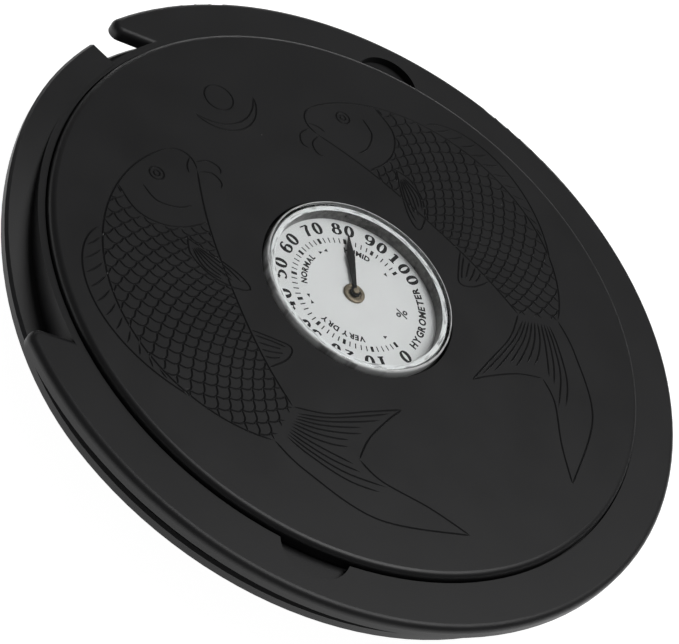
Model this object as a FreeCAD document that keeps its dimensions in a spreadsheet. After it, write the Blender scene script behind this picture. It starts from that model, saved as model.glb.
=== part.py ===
import FreeCAD, Part
import math
import os
import re

import Sketcher
from FreeCAD import Placement, Rotation, Vector

# Sound-hole cover with a dial hygrometer.
#
# A soft ring with a thread-like flange screws into the sound hole of a guitar.
# Its rigid cup hangs inside the guitar and holds a damp sponge.  A round lid
# closes the cup, and a dial hygrometer sits in the middle of the lid.
#
# Millimetres.  +Z is the way the dial faces.  The origin is on the axis of the
# ring, at the underside of the cup.  +Y is the top of the picture on the lid.

# ---------------------------------------------------------------- sizes
SIZES = {
    # sound-hole ring
    "neck_radius": 48.3,        # passes through the sound hole
    "rim_wall": 1.05,           # wall of the ring beside the lid
    "ring_wall": 3.4,           # wall of the ring around the cup
    "flange_reach": 6.0,        # upper flange beyond the neck
    "flange_thickness": 2.05,
    "flange_round": 1.0,
    "corner_round": 1.6,        # corners of the upper flange at its two ends
    "groove_width": 3.6,        # takes the edge of the soundboard
    "thread_reach": 3.4,        # lower flange beyond the neck
    "thread_thickness": 2.1,
    "thread_start_reach": 4.0,  # raised start of the lower flange
    "cut_angle": 49.0,          # direction square to both ends of the upper flange
    "step_offset": 25.4,        # lower-left end of the upper flange from the centre
    "notch_offset": 34.2,       # top end of the upper flange from the centre
    "start_angle": 104.8,       # where the lower flange starts, at the notch
    "end_angle": 109.0,         # where the lower flange ends, one turn on
    "ramp_high_angle": 120.0,   # from here the lower flange comes down
    "ramp_low_angle": 184.0,    # here it has reached its level
    "finger_radius": 5.2,
    "finger_reach": 4.1,        # finger recess beyond the lid
    "finger_angle": 42.5,
    # cup
    "cup_wall": 1.8,
    "cup_floor": 1.5,
    "cup_round": 3.0,
    "cup_rim_thickness": 1.5,
    "collar_wall": 1.0,         # wall between the sponge and the instrument
    "collar_height": 5.5,
    "collar_space": 3.4,        # collar beyond the instrument case
    "vent_width": 3.0,
    "vent_margin": 3.5,
    "well_clearance": 1.6,      # under the instrument
    # lid
    "lid_gap": 0.25,
    "lid_thickness": 2.4,
    "lid_proud": 1.2,           # lid above the upper flange
    "lid_round": 0.9,
    "skirt_height": 3.0,
    "skirt_wall": 1.5,
    "seal_width": 1.1,
    "seal_depth": 0.8,
    "boss_wall": 3.4,           # lid boss around the instrument case
    "boss_height": 2.8,
    # instrument case
    "lens_radius": 15.1,
    "lens_gap": 0.25,
    "lens_proud": 0.8,
    "lens_thickness": 0.7,
    "lens_wall": 0.85,
    "case_sink": 1.0,           # case flange below the top of the lid
    "case_flange": 2.0,
    "case_depth": 10.2,
    "case_wall": 1.0,
    "case_floor": 1.0,
    "case_boss_height": 1.2,
    "clamp_height": 1.5,
    "clamp_reach": 3.1,
    "sponge_height": 7.0,
    "sponge_gap": 0.6,          # under the skirt of the lid, at the least
    # dial and movement
    "dial_sink": 1.9,
    "dial_thickness": 0.5,
    "spacer_wall": 0.6,
    "bush_radius": 1.5,
    "bush_head": 0.3,
    "bush_tube": 0.95,
    "bush_length": 1.7,
    "spindle_radius": 0.3,
    "pointer_reach": 10.55,
    "pointer_width": 1.25,
    "pointer_thickness": 0.2,
    "pointer_hub": 0.8,
    "dial_turn": 4.6,           # zero of the scale past straight down
    "reading": 81.0,            # per cent shown at rest
    "disc_radius": 6.6,
    "disc_thickness": 1.0,
    "washer_thickness": 0.5,
    "knob_radius": 2.5,
    "knob_proud": 1.2,
    "slot_width": 0.8,
    "slot_depth": 0.6,
    "clip_thickness": 0.4,
    "post_radius": 0.35,
    "collet_radius": 0.9,
    "coil_thickness": 0.12,
    # clearances
    "fit": 0.05,                # pieces that seat in each other
    "running": 0.06,            # shafts in their bores
    "skirt_fit": 0.1,
}
COIL_TURNS = 7
RAMP_SECTIONS = 25
SCALE_SWEEP = 270.0             # degrees from 0 to 100 per cent

# Heights and radii that follow from the sizes.
DERIVED = {
    # the cup is as deep as the deeper of its two contents needs
    "instrument_stack": "well_clearance + knob_proud + case_depth + case_sink",
    "sponge_stack": "sponge_height + sponge_gap + skirt_height + lid_thickness",
    "lid_top": "cup_floor + max(instrument_stack; sponge_stack)",
    "lid_bottom": "lid_top - lid_thickness",
    "lid_radius": "neck_radius - rim_wall - lid_gap",
    "recess_radius": "neck_radius - rim_wall",
    "recess_floor": "lid_bottom - fit",
    "flange_radius": "neck_radius + flange_reach",
    "flange_top": "lid_top - lid_proud",
    "flange_bottom": "flange_top - flange_thickness",
    "thread_radius": "neck_radius + thread_reach",
    "thread_top": "flange_bottom - groove_width",
    "thread_bottom": "thread_top - thread_thickness",
    "thread_rise": "thread_thickness + groove_width",
    "bore_radius": "neck_radius - ring_wall",
    "cup_radius": "bore_radius - fit",
    "cup_inside": "cup_radius - cup_wall",
    "cup_rim_radius": "lid_radius - lid_gap",
    "cup_rim_bottom": "recess_floor - cup_rim_thickness",
    "collar_inside": "case_radius + collar_space",
    "collar_outside": "collar_inside + collar_wall",
    "skirt_outside": "cup_inside - skirt_fit",
    "skirt_inside": "skirt_outside - skirt_wall",
    "skirt_bottom": "lid_bottom - skirt_height",
    "seal_bottom": "skirt_bottom + (skirt_height - seal_width) / 2",
    "seal_inside": "skirt_outside - seal_depth",
    "pocket_radius": "lens_radius + lens_gap",
    "case_flange_radius": "lens_radius - fit",
    "case_flange_top": "lid_top - case_sink",
    "case_flange_bottom": "case_flange_top - case_flange",
    "seat_height": "case_flange_bottom - fit",
    "case_radius": "lens_radius - 1.1",
    "case_inside": "case_radius - case_wall",
    "case_bottom": "case_flange_top - case_depth",
    "case_floor_top": "case_bottom + case_floor",
    "case_boss_top": "case_floor_top + case_boss_height",
    "boss_bottom": "lid_bottom - boss_height",
    "boss_outside": "case_radius + boss_wall",
    "clamp_top": "boss_bottom - fit",
    "clamp_bottom": "clamp_top - clamp_height",
    "dial_top": "lid_top - dial_sink",
    "dial_bottom": "dial_top - dial_thickness",
    "dial_radius": "lens_radius - lens_wall - 0.25",
    "dial_seat": "dial_bottom - fit",
    "seat_radius": "dial_radius + fit",
    "spacer_inside": "dial_radius - spacer_wall",
    "lens_inside": "lens_radius - lens_wall",
    "lens_top": "lid_top + lens_proud",
    "lens_under": "lens_top - lens_thickness",
    "disc_bottom": "case_boss_top + washer_thickness + 2 * fit",
    "disc_top": "disc_bottom + disc_thickness",
    "knob_bottom": "case_bottom - knob_proud",
    "clip_top": "case_bottom - fit",
    "clip_bottom": "clip_top - clip_thickness",
    "bush_bottom": "dial_top - bush_length",
    "coil_bottom": "disc_top + 0.8",
    "coil_top": "bush_bottom - 0.8",
    "coil_outside": "disc_radius - 1.3",
    "coil_inside": "collet_radius + coil_thickness / 2",
    "post_place": "coil_outside + post_radius + coil_thickness / 2",
    "pointer_bottom": "dial_top + bush_head + 0.1",
    "spindle_top": "pointer_bottom + pointer_thickness + 0.15",
    "spindle_bottom": "disc_bottom - 0.8",
    "rear_bush_bottom": "spindle_bottom - 0.2",
}

doc = FreeCAD.newDocument("SoundHoleHygrometer")
sheet = doc.addObject("Spreadsheet::Sheet", "Sizes")
for row, (alias, size) in enumerate(SIZES.items(), start=1):
    sheet.set("A%d" % row, alias)
    sheet.set("B%d" % row, str(size))
    sheet.setAlias("B%d" % row, alias)
doc.recompute()


# ---------------------------------------------------------------- helpers
def bound(text):
    """Write a formula of size names as an expression on the sheet."""
    def one(match):
        name = match.group(0)
        if name in DERIVED:
            return "(" + bound(DERIVED[name]) + ")"
        return "Sizes." + name if name in SIZES else name
    return re.sub(r"[a-z]\w+", one, str(text))


def size(text):
    """The present value of a formula of size names."""
    return float(sheet.evalExpression(bound(text)))


def bind(thing, target, formula):
    thing.setExpression(target, bound(formula))


def new_body(label):
    body = doc.addObject("PartDesign::Body", label)
    body.Label = label
    return body


def origin_plane(body, role):
    return next(item for item in body.Origin.OriginFeatures if item.Role == role)


def new_sketch(body, name, role, height=None, turn=None):
    sketch = body.newObject("Sketcher::SketchObject", name)
    sketch.AttachmentSupport = [(origin_plane(body, role), "")]
    sketch.MapMode = "FlatFace"
    if height is not None:
        bind(sketch, "AttachmentOffset.Base.z", height)
    if turn is not None:
        axis = Vector(0, 0, 1) if role == "XY_Plane" else Vector(0, 1, 0)
        sketch.AttachmentOffset = Placement(Vector(), Rotation(axis, size(turn)))
        bind(sketch, "AttachmentOffset.Rotation.Angle", turn)
    return sketch


def place_point(sketch, line, across, up):
    """Tie the start of a line to two formulas; a plain zero ties it to an axis."""
    for kind, axis, formula in (("DistanceX", -2, across), ("DistanceY", -1, up)):
        if str(formula) == "0":
            sketch.addConstraint(Sketcher.Constraint("PointOnObject", line, 1, axis))
            continue
        rule = Sketcher.Constraint(kind, -1, 1, line, 1, size(formula))
        index = sketch.addConstraint(rule)
        bind(sketch, "Constraints[%d]" % index, formula)


def add_outline(sketch, points):
    """A closed outline of straight lines through the points."""
    first = sketch.GeometryCount
    count = len(points)
    corners = [Vector(size(x), size(y), 0) for x, y in points]
    for i in range(count):
        sketch.addGeometry(Part.LineSegment(corners[i], corners[(i + 1) % count]), False)
    for i in range(count):
        following = first + (i + 1) % count
        sketch.addConstraint(Sketcher.Constraint("Coincident", first + i, 2, following, 1))
    for i, (x, y) in enumerate(points):
        place_point(sketch, first + i, x, y)


def add_circle(sketch, radius, across="0", up="0"):
    centre = Vector(size(across), size(up), 0)
    index = sketch.addGeometry(Part.Circle(centre, Vector(0, 0, 1), size(radius)), False)
    rule = sketch.addConstraint(Sketcher.Constraint("Radius", index, size(radius)))
    bind(sketch, "Constraints[%d]" % rule, radius)
    for kind, axis, formula in (("DistanceX", -2, across), ("DistanceY", -1, up)):
        if str(formula) == "0":
            sketch.addConstraint(Sketcher.Constraint("PointOnObject", index, 3, axis))
            continue
        rule = sketch.addConstraint(Sketcher.Constraint(kind, -1, 1, index, 3, size(formula)))
        bind(sketch, "Constraints[%d]" % rule, formula)


def revolve(body, name, points):
    """Turn an outline of (radius, height) points about the axis."""
    sketch = new_sketch(body, name + "Profile", "XZ_Plane")
    add_outline(sketch, points)
    turned = body.newObject("PartDesign::Revolution", name)
    turned.Profile = sketch
    turned.ReferenceAxis = (sketch, ["V_Axis"])
    turned.Angle = 360.0
    return turned


def extrude(body, kind, name, sketch, length):
    """A Pad stands up from the sketch, a Pocket cuts down from it."""
    feature = body.newObject("PartDesign::" + kind, name)
    feature.Profile = sketch
    bind(feature, "Length", length)
    return feature


def repeat(body, name, feature, sketch, count):
    pattern = body.newObject("PartDesign::PolarPattern", name)
    pattern.Originals = [feature]
    pattern.Axis = (sketch, ["N_Axis"])
    pattern.Angle = 360.0
    pattern.Occurrences = count
    body.Tip = pattern
    return pattern


def round_circles(body, name, feature, radius, circles):
    """Round the circular edges of the given (radius, height)."""
    doc.recompute()
    wanted = [(size(across), size(up)) for across, up in circles]
    names = []
    for number, edge in enumerate(feature.Shape.Edges, start=1):
        curve = edge.Curve
        if not isinstance(curve, Part.Circle):
            continue
        for across, up in wanted:
            if abs(curve.Radius - across) < 1e-4 and abs(curve.Center.z - up) < 1e-4:
                names.append("Edge%d" % number)
    if not names:
        raise RuntimeError("no edge to round on " + body.Label)
    fillet = body.newObject("PartDesign::Fillet", name)
    fillet.Base = (feature, names)
    bind(fillet, "Radius", radius)
    return fillet


def round_corners(body, name, feature, radius):
    """Round the upright corners where a straight cut meets the edge of the flange."""
    edge_radius = size("flange_radius")
    names = []
    for number, edge in enumerate(feature.Shape.Edges, start=1):
        ends = [vertex.Point for vertex in edge.Vertexes]
        if len(ends) != 2 or abs(ends[0].z - ends[1].z) < 1e-6:
            continue
        if all(abs(math.hypot(end.x, end.y) - edge_radius) < 1e-3 for end in ends):
            names.append("Edge%d" % number)
    if not names:
        raise RuntimeError("no corner to round on " + body.Label)
    fillet = body.newObject("PartDesign::Fillet", name)
    fillet.Base = (feature, names)
    bind(fillet, "Radius", radius)
    return fillet


def ring(label, inside, outside, bottom, top):
    """A plain ring, or a disc where the inside is a plain zero."""
    body = new_body(label)
    corners = [(inside, bottom), (outside, bottom), (outside, top), (inside, top)]
    revolve(body, "Turned", corners)
    return body


def ease(share):
    """Goes from 0 to 1 with level ends."""
    return share * share * (3.0 - 2.0 * share)


# ---------------------------------------------------------------- sound-hole ring
def make_soundhole_ring():
    body = new_body("soundhole_ring")
    embed = "neck_radius - 0.6"

    # upper flange: a full disc first, opened on the left side, then rounded
    plate = new_sketch(body, "FlangeSketch", "XY_Plane", height="flange_bottom")
    add_circle(plate, "flange_radius")
    add_circle(plate, embed)
    extrude(body, "Pad", "Flange", plate, "flange_thickness")
    window = new_sketch(body, "WindowSketch", "XY_Plane", height="flange_top + 1",
                        turn="cut_angle")
    far = "flange_radius + 2"
    add_outline(window, [("-step_offset", "0"), ("notch_offset", "0"),
                         ("notch_offset", far), ("-step_offset", far)])
    opened = extrude(body, "Pocket", "Window", window, "flange_thickness + 2")
    doc.recompute()
    corners = round_corners(body, "CornerRound", opened, "corner_round")
    round_circles(body, "FlangeRound", corners, "flange_round",
                  [("flange_radius", "flange_top")])
    doc.recompute()

    # finger recesses on opposite sides of the lid
    finger = new_sketch(body, "FingerSketch", "XY_Plane", height="flange_top + 1",
                        turn="finger_angle")
    doc.recompute()

    # neck, with the recess for the lid and the seat for the rim of the cup
    seat = "cup_rim_radius + fit"
    revolve(body, "Neck", [
        ("bore_radius", "thread_bottom"), ("neck_radius", "thread_bottom"),
        ("neck_radius", "flange_top"), ("recess_radius", "flange_top"),
        ("recess_radius", "recess_floor"), (seat, "recess_floor"),
        (seat, "cup_rim_bottom - fit"), ("bore_radius", "cup_rim_bottom - fit")])
    doc.recompute()
    add_circle(finger, "finger_radius", across="lid_radius + finger_reach - finger_radius")
    recess = extrude(body, "Pocket", "FingerRecess", finger, "flange_top + 1 - recess_floor")
    doc.recompute()
    repeat(body, "FingerRecesses", recess, finger, 2)

    # lower flange: starts raised at the notch, comes down the ramp, and then
    # runs on at its own level until it ends under its start
    high = size("ramp_high_angle")
    low = size("ramp_low_angle")
    start = size("start_angle")
    end = size("end_angle") + 360.0
    bevel = "thread_thickness * 0.2"
    sections = []
    for number in range(RAMP_SECTIONS):
        angle = start + (low - start) * number / (RAMP_SECTIONS - 1)
        raised = 1.0 - ease(min(max((angle - high) / (low - high), 0.0), 1.0))
        sketch = new_sketch(body, "ThreadSection%d" % number, "XZ_Plane")
        sketch.AttachmentOffset = Placement(Vector(), Rotation(Vector(0, 1, 0), angle))
        outer = "thread_radius + (thread_start_reach - thread_reach) * %.6f" % raised
        bottom = "thread_bottom + thread_rise * %.6f" % raised
        top = bottom + " + thread_thickness"
        add_outline(sketch, [
            (embed, bottom), (outer + " - " + bevel, bottom), (outer, bottom + " + " + bevel),
            (outer, top + " - " + bevel), (outer + " - " + bevel, top), (embed, top)])
        sections.append(sketch)
    doc.recompute()
    ramp = body.newObject("PartDesign::AdditiveLoft", "ThreadRamp")
    ramp.Profile = sections[0]
    ramp.Sections = sections[1:]
    doc.recompute()
    level = new_sketch(body, "ThreadProfile", "XZ_Plane")
    level.AttachmentOffset = Placement(Vector(), Rotation(Vector(0, 1, 0), end))
    add_outline(level, [
        (embed, "thread_bottom"), ("thread_radius - " + bevel, "thread_bottom"),
        ("thread_radius", "thread_bottom + " + bevel), ("thread_radius", "thread_top - " + bevel),
        ("thread_radius - " + bevel, "thread_top"), (embed, "thread_top")])
    run = body.newObject("PartDesign::Revolution", "ThreadLevel")
    run.Profile = level
    run.ReferenceAxis = (level, ["V_Axis"])
    run.Angle = end - low
    run.Reversed = True
    doc.recompute()
    return body


# ---------------------------------------------------------------- cup
def make_cup():
    body = new_body("well_cup")
    shell = revolve(body, "Shell", [
        ("0", "0"), ("cup_radius", "0"), ("cup_radius", "cup_rim_bottom"),
        ("cup_rim_radius", "cup_rim_bottom"), ("cup_rim_radius", "recess_floor"),
        ("cup_inside", "recess_floor"), ("cup_inside", "cup_floor"),
        ("collar_outside", "cup_floor"), ("collar_outside", "cup_floor + collar_height"),
        ("collar_inside", "cup_floor + collar_height"), ("collar_inside", "cup_floor"),
        ("0", "cup_floor")])
    round_circles(body, "ShellRound", shell, "cup_round", [("cup_radius", "0")])
    doc.recompute()

    # vent slots through the floor, a long ring under the sponge and a short
    # ring under the instrument
    for name, inner, outer, count in (
            ("Outer", "collar_outside + vent_margin", "cup_inside - vent_margin", 12),
            ("Inner", "vent_margin", "collar_inside - vent_margin", 6)):
        sketch = new_sketch(body, name + "VentSketch", "XY_Plane", height="cup_floor")
        half = "vent_width / 2"
        add_outline(sketch, [(inner, "-" + half), (outer, "-" + half),
                             (outer, half), (inner, half)])
        vent = extrude(body, "Pocket", name + "Vent", sketch, "cup_floor")
        doc.recompute()
        repeat(body, name + "Vents", vent, sketch, count)
        doc.recompute()
    return body


# ---------------------------------------------------------------- lid
def make_lid():
    body = new_body("lid")
    disc = revolve(body, "Disc", [
        ("case_radius + fit", "boss_bottom"), ("boss_outside", "boss_bottom"),
        ("boss_outside", "lid_bottom"), ("skirt_inside", "lid_bottom"),
        ("skirt_inside", "skirt_bottom"), ("skirt_outside", "skirt_bottom"),
        ("skirt_outside", "seal_bottom - fit"), ("seal_inside - fit", "seal_bottom - fit"),
        ("seal_inside - fit", "seal_bottom + seal_width + fit"),
        ("skirt_outside", "seal_bottom + seal_width + fit"), ("skirt_outside", "lid_bottom"),
        ("lid_radius - 0.4", "lid_bottom"), ("lid_radius", "lid_bottom + 0.4"),
        ("lid_radius", "lid_top"), ("pocket_radius", "lid_top"),
        ("pocket_radius", "seat_height"), ("case_radius + fit", "seat_height")])
    round_circles(body, "DiscRound", disc, "lid_round", [("lid_radius", "lid_top")])
    return body


# ---------------------------------------------------------------- instrument
def make_case():
    body = new_body("hygrometer_case")
    revolve(body, "Shell", [
        ("knob_radius + running", "case_bottom"), ("case_radius", "case_bottom"),
        ("case_radius", "case_flange_bottom"), ("case_flange_radius", "case_flange_bottom"),
        ("case_flange_radius", "case_flange_top"), ("seat_radius", "case_flange_top"),
        ("seat_radius", "dial_seat"), ("case_inside", "dial_seat"),
        ("case_inside", "case_floor_top"), ("knob_radius + 1.7", "case_floor_top"),
        ("knob_radius + 1.7", "case_boss_top"), ("knob_radius + running", "case_boss_top")])
    doc.recompute()
    sketch = new_sketch(body, "VentSketch", "XY_Plane", height="case_floor_top")
    add_outline(sketch, [("knob_radius + 3", "-0.8"), ("case_inside - 1.5", "-0.8"),
                         ("case_inside - 1.5", "0.8"), ("knob_radius + 3", "0.8")])
    vent = extrude(body, "Pocket", "Vent", sketch, "case_floor")
    doc.recompute()
    repeat(body, "Vents", vent, sketch, 8)
    return body


def make_lens():
    body = new_body("lens_cap")
    cap = revolve(body, "Cap", [
        ("0", "lens_under"), ("lens_inside", "lens_under"), ("lens_inside", "case_flange_top"),
        ("lens_radius", "case_flange_top"), ("lens_radius", "lens_top"), ("0", "lens_top")])
    round_circles(body, "CapRound", cap, "lens_thickness * 0.6", [("lens_radius", "lens_top")])
    return body


def make_spacer():
    body = new_body("dial_spacer_ring")
    revolve(body, "Turned", [
        ("spacer_inside", "dial_top"), ("dial_radius", "dial_top"),
        ("dial_radius", "case_flange_top"), ("lens_inside - fit", "case_flange_top"),
        ("lens_inside - fit", "lens_under - fit"), ("spacer_inside", "lens_under - fit")])
    return body


def make_front_bush():
    body = new_body("front_bush")
    revolve(body, "Turned", [
        ("spindle_radius + running", "bush_bottom"), ("bush_tube", "bush_bottom"),
        ("bush_tube", "dial_top"), ("bush_radius", "dial_top"),
        ("bush_radius", "dial_top + bush_head"),
        ("spindle_radius + running", "dial_top + bush_head")])
    return body


def make_pointer():
    """A slim blade, widest past its middle, on a round hub."""
    body = new_body("pointer")
    heading = 270.0 + size("dial_turn") - SCALE_SWEEP * size("reading") / 100.0
    turned = Placement(Vector(), Rotation(Vector(0, 0, 1), heading))
    blade = new_sketch(body, "BladeSketch", "XY_Plane")
    blade.AttachmentOffset = turned
    bind(blade, "AttachmentOffset.Base.z", "pointer_bottom")
    waist = "pointer_width * 0.2"
    half = "pointer_width / 2"
    widest = "pointer_reach * 0.62"
    add_outline(blade, [
        ("spindle_radius * 1.5", "-" + waist), (widest, "-" + half), ("pointer_reach", "-0.06"),
        ("pointer_reach", "0.06"), (widest, half), ("spindle_radius * 1.5", waist)])
    extrude(body, "Pad", "Blade", blade, "pointer_thickness")
    revolve(body, "Hub", [
        ("spindle_radius", "pointer_bottom"), ("pointer_hub", "pointer_bottom"),
        ("pointer_hub", "pointer_bottom + pointer_thickness"),
        ("spindle_radius", "pointer_bottom + pointer_thickness")])
    return body


def make_calibration_disc():
    """Turned with a screwdriver from behind; carries the outer end of the coil."""
    body = new_body("calibration_disc")
    groove = "knob_radius - 0.4"
    revolve(body, "Turned", [
        ("0", "knob_bottom"), ("knob_radius", "knob_bottom"), ("knob_radius", "clip_bottom - fit"),
        (groove, "clip_bottom - fit"), (groove, "clip_top + fit"),
        ("knob_radius", "clip_top + fit"), ("knob_radius", "disc_bottom"),
        ("disc_radius", "disc_bottom"), ("disc_radius", "disc_top"),
        ("bush_tube", "disc_top"), ("bush_tube", "rear_bush_bottom"), ("0", "rear_bush_bottom")])
    doc.recompute()
    slot = new_sketch(body, "SlotSketch", "XY_Plane", height="knob_bottom + slot_depth")
    add_outline(slot, [("-knob_radius - 1", "-slot_width / 2"), ("knob_radius + 1", "-slot_width / 2"),
                       ("knob_radius + 1", "slot_width / 2"), ("-knob_radius - 1", "slot_width / 2")])
    extrude(body, "Pocket", "Slot", slot, "slot_depth + 1")
    doc.recompute()
    hole = new_sketch(body, "PostHoleSketch", "XY_Plane", height="disc_top")
    add_circle(hole, "post_radius", across="post_place")
    extrude(body, "Pocket", "PostHole", hole, "disc_thickness / 2")
    return body


def make_coil_post():
    body = new_body("coil_post")
    sketch = new_sketch(body, "PostSketch", "XY_Plane", height="disc_top - disc_thickness / 2")
    add_circle(sketch, "post_radius", across="post_place")
    extrude(body, "Pad", "Post", sketch, "coil_top + 0.1 - disc_top + disc_thickness / 2")
    return body


def make_coil():
    """A flat spiral strip from the collet out to the post, which no sketch holds."""
    inner = size("coil_inside")
    outer = size("coil_outside")
    half = size("coil_thickness") / 2.0
    steps = 24 * COIL_TURNS

    def edge(shift):
        points = []
        for i in range(steps + 1):
            share = i / steps
            radius = inner + (outer - inner) * share + shift
            angle = 2.0 * math.pi * COIL_TURNS * (share - 1.0)
            points.append(Vector(radius * math.cos(angle), radius * math.sin(angle), 0))
        curve = Part.BSplineCurve()
        curve.interpolate(points)
        return curve.toShape(), points[0], points[-1]

    inside, inside_start, inside_end = edge(-half)
    outside, outside_start, outside_end = edge(half)
    wire = Part.Wire([inside, Part.makeLine(inside_end, outside_end), outside.reversed(),
                      Part.makeLine(outside_start, inside_start)])
    strip = Part.Face(wire).extrude(Vector(0, 0, size("coil_top") - size("coil_bottom")))
    coil = doc.addObject("Part::Feature", "humidity_coil")
    coil.Shape = strip
    coil.Label = "humidity_coil"
    coil.Placement = Placement(Vector(0, 0, size("coil_bottom")), Rotation())
    return coil


# ---------------------------------------------------------------- assembly
parts = [make_soundhole_ring(), make_cup(), make_lid()]
parts.append(ring("lid_seal", "seal_inside", "cup_inside - 0.02", "seal_bottom",
                  "seal_bottom + seal_width"))
parts.append(ring("sponge_ring", "collar_outside + 0.4", "cup_inside - 1", "cup_floor + fit",
                  "cup_floor + fit + sponge_height"))
parts += [make_case(), make_lens(), make_spacer()]
parts.append(ring("clamp_ring", "case_radius + fit / 2", "case_radius + clamp_reach",
                  "clamp_bottom", "clamp_top"))
parts.append(ring("dial_plate", "bush_tube + fit", "dial_radius", "dial_bottom", "dial_top"))
parts += [make_front_bush(), make_pointer()]
parts.append(ring("pointer_spindle", "0", "spindle_radius", "spindle_bottom", "spindle_top"))
parts.append(ring("coil_collet", "spindle_radius", "collet_radius", "coil_bottom - 0.2",
                  "coil_top + 0.2"))
parts += [make_coil(), make_coil_post(), make_calibration_disc()]
parts.append(ring("rear_bush", "spindle_radius + running", "bush_tube", "rear_bush_bottom",
                  "disc_top"))
parts.append(ring("friction_washer", "knob_radius + running", "knob_radius + 1.6",
                  "case_boss_top + fit", "case_boss_top + fit + washer_thickness"))
parts.append(ring("adjuster_clip", "knob_radius - 0.4 + running", "knob_radius + 1.3",
                  "clip_bottom", "clip_top"))

doc.recompute()
for item in doc.Objects:
    if "Invalid" in item.State or "Error" in item.State:
        raise RuntimeError("%s failed: %s" % (item.Name, item.State))
os.makedirs("parts", exist_ok=True)
for part in parts:
    shape = part.Shape
    if shape.isNull() or not shape.isValid() or not shape.Solids:
        raise RuntimeError(part.Label + " has no sound solid")
    print("%-20s %d solid  %9.2f mm3" % (part.Label, len(shape.Solids), shape.Volume))
    shape.exportStep("parts/%s.step" % part.Label)
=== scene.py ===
# %% [markdown]
# # A dial hygrometer for a guitar's sound hole
#
# The object is a soft black ring that clips into the sound hole, a slotted cup with a damp sponge
# in it, and an engraved lid that carries a small dial hygrometer under a clear cap. The sizes and
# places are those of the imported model, so this lesson only adds looks: finer surfaces, engraving,
# print and finishes. Each step first says what the real piece is, and then how it is made here.

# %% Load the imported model
import math

import bmesh
import bpy
from mathutils import Matrix, Vector, noise
from mathutils.geometry import delaunay_2d_cdt


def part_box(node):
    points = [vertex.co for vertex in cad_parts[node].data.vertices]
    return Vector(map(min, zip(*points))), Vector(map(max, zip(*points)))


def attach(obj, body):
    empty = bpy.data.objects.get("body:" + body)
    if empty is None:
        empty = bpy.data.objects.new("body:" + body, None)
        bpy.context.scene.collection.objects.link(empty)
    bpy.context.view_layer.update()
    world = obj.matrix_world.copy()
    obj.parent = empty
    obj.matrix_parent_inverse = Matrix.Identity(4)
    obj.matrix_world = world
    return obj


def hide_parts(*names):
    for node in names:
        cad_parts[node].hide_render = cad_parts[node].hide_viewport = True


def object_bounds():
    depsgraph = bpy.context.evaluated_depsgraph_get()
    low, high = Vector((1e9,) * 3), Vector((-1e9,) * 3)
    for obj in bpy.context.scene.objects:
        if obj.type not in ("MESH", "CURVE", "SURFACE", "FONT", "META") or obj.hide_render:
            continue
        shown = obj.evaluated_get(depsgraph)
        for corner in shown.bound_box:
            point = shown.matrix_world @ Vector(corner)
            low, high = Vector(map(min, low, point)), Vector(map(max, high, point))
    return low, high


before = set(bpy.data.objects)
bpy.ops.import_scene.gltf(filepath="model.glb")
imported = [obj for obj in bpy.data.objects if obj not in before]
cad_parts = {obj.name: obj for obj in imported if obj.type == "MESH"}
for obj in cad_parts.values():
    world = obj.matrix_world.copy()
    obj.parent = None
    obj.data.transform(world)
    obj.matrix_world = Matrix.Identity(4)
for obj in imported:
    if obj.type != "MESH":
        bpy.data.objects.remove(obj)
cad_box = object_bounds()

MM = 0.001

# %% [markdown]
# ## Sizes taken from the model
#
# Every place in this lesson comes from the model's own boxes. A box gives the lowest and highest
# corner of one piece, and for a round piece half its width is its radius.


# %% Read radii and heights
def extent(node):
    """The radius, the bottom and the top of a round piece that stands on the middle axis."""
    low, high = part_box(node)
    return high.x, low.z, high.z


LID_RADIUS, SKIRT_BOTTOM, LID_TOP = extent("lid")
LENS_RADIUS, LENS_BOTTOM, LENS_TOP = extent("lens_cap")
DIAL_RADIUS, _, DIAL_TOP = extent("dial_plate")
print("lid radius", round(LID_RADIUS / MM, 2), "mm, top at", round(LID_TOP / MM, 2), "mm")

# %% [markdown]
# ## The camera
#
# The object is seen from above and from its left side, with a long lens, so that far and near edges
# keep almost the same scale. The camera is also rolled about its own line of sight: the object then
# seems to hang at a slant. Aim, distance and the three angles are enough to place it.

# %% Place the camera
AIM = Vector((-7.32, -3.83, 15.5)) * MM
AZIMUTH = math.radians(-68.99)
ELEVATION = math.radians(42.24)
ROLL = math.radians(39.34)
DISTANCE = 333.6 * MM
LENS_LENGTH = 127.25


def place_camera():
    data = bpy.data.cameras.new("camera")
    data.lens = LENS_LENGTH
    data.sensor_width = 36.0
    data.clip_start = 0.01
    data.clip_end = 20.0
    camera = bpy.data.objects.new("camera", data)
    bpy.context.scene.collection.objects.link(camera)
    level = math.cos(ELEVATION)
    back = Vector((math.sin(AZIMUTH) * level, -math.cos(AZIMUTH) * level, math.sin(ELEVATION)))
    camera.rotation_mode = "QUATERNION"
    turn = (-back).to_track_quat("-Z", "Y").to_matrix().to_4x4() @ Matrix.Rotation(ROLL, 4, "Z")
    camera.matrix_world = Matrix.Translation(AIM + back * DISTANCE) @ turn
    bpy.context.scene.camera = camera
    print("the camera stands at", [round(v / MM, 1) for v in camera.location], "mm")


place_camera()

# %% [markdown]
# ## Arithmetic on sockets
#
# A material in Blender is a graph of nodes, and a long formula becomes a thicket of Math nodes.
# This small class wraps one output socket and overloads the arithmetic operators, so that a mask
# can be written as `1 - noise * 0.5`, and the Math nodes appear by themselves. The reflected forms,
# such as `__rsub__`, are what makes a plain number on the left side work.


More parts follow.
